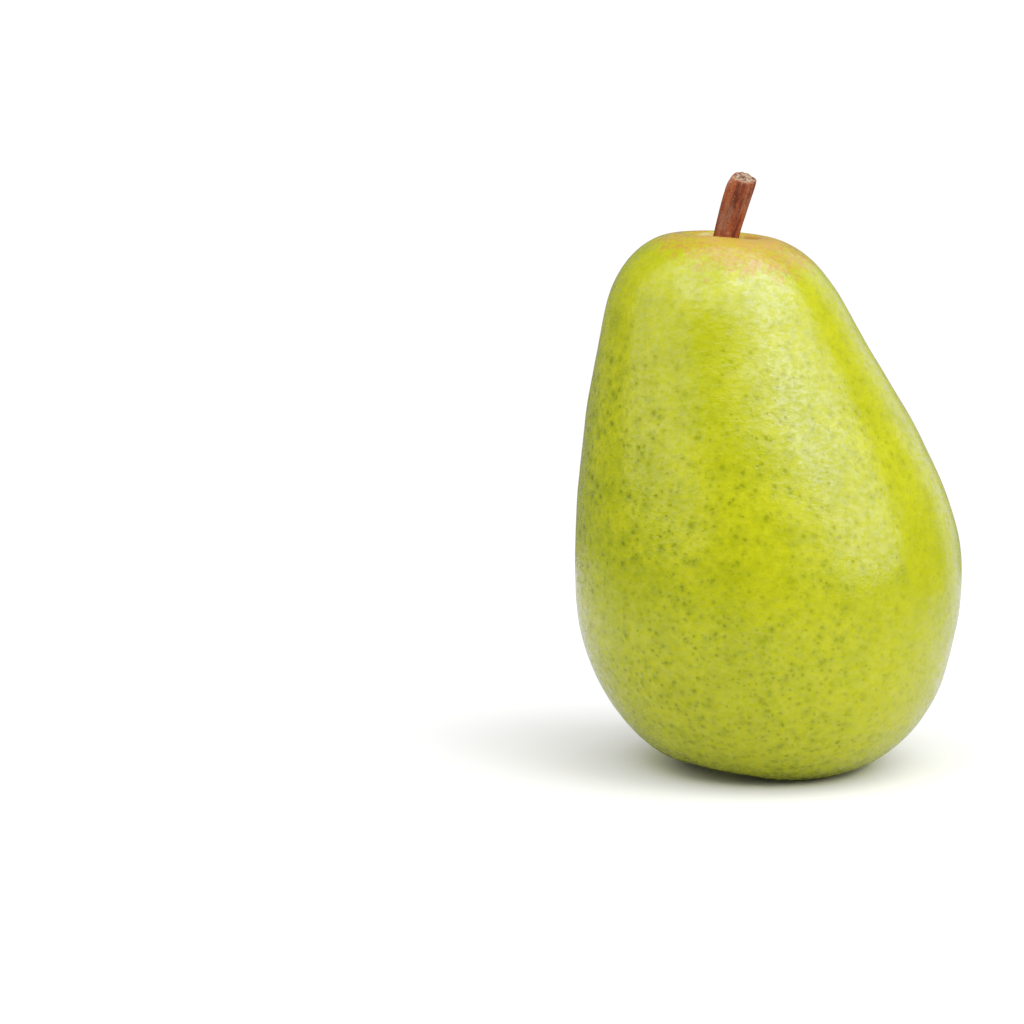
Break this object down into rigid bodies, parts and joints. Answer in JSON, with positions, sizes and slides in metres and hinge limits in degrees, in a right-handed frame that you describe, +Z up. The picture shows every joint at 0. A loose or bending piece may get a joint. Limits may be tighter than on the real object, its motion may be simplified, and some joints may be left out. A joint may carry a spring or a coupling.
{
  "type": "pear",
  "caption": "Green pear standing on its base, with a short woody stem in the crown and a dried calyx in the basin underneath.",
  "frame": {"origin": "on the plane the pear rests on, below the middle of its bounding box", "axes": "+Z up along the pear, +X to its right with the crown leaning to -X, -Y to its front"},
  "size_m": [0.0744, 0.0726, 0.1151],
  "materials": {
    "skin": "waxy yellow-green skin with darker pores and a little tan russet round the stem",
    "bark": "red-brown woody stalk, ridged lengthways, pale fibrous broken end",
    "dried_sepals": "matt dark brown, dry and curled"
  },
  "bodies": {
    "root": {"fruit": "skin", "stem": "bark", "calyx": "dried_sepals"}
  },
  "joints": []
}
